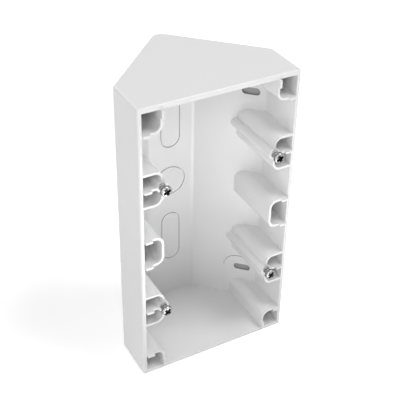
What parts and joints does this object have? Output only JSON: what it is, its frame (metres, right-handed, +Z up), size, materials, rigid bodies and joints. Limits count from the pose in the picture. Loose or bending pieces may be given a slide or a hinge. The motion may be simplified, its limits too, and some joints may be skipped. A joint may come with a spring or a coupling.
{
  "type": "corner mounting box",
  "caption": "Tall moulded box for the corner of a room: open front, back walls at forty-five degrees, hollow screw bosses, knock-out outlines and device screws.",
  "frame": {"origin": "on the flat bottom face, under the middle of the whole part, screw heads included", "axes": "+X along the open front, +Y from the open front into the corner of the room, +Z up"},
  "size_m": [0.083, 0.069, 0.1555],
  "materials": {
    "box": "fine satin, as moulded",
    "device_screws": "bright plated steel"
  },
  "bodies": {
    "root": {"box": "box", "device_screws": "device_screws"}
  },
  "joints": []
}
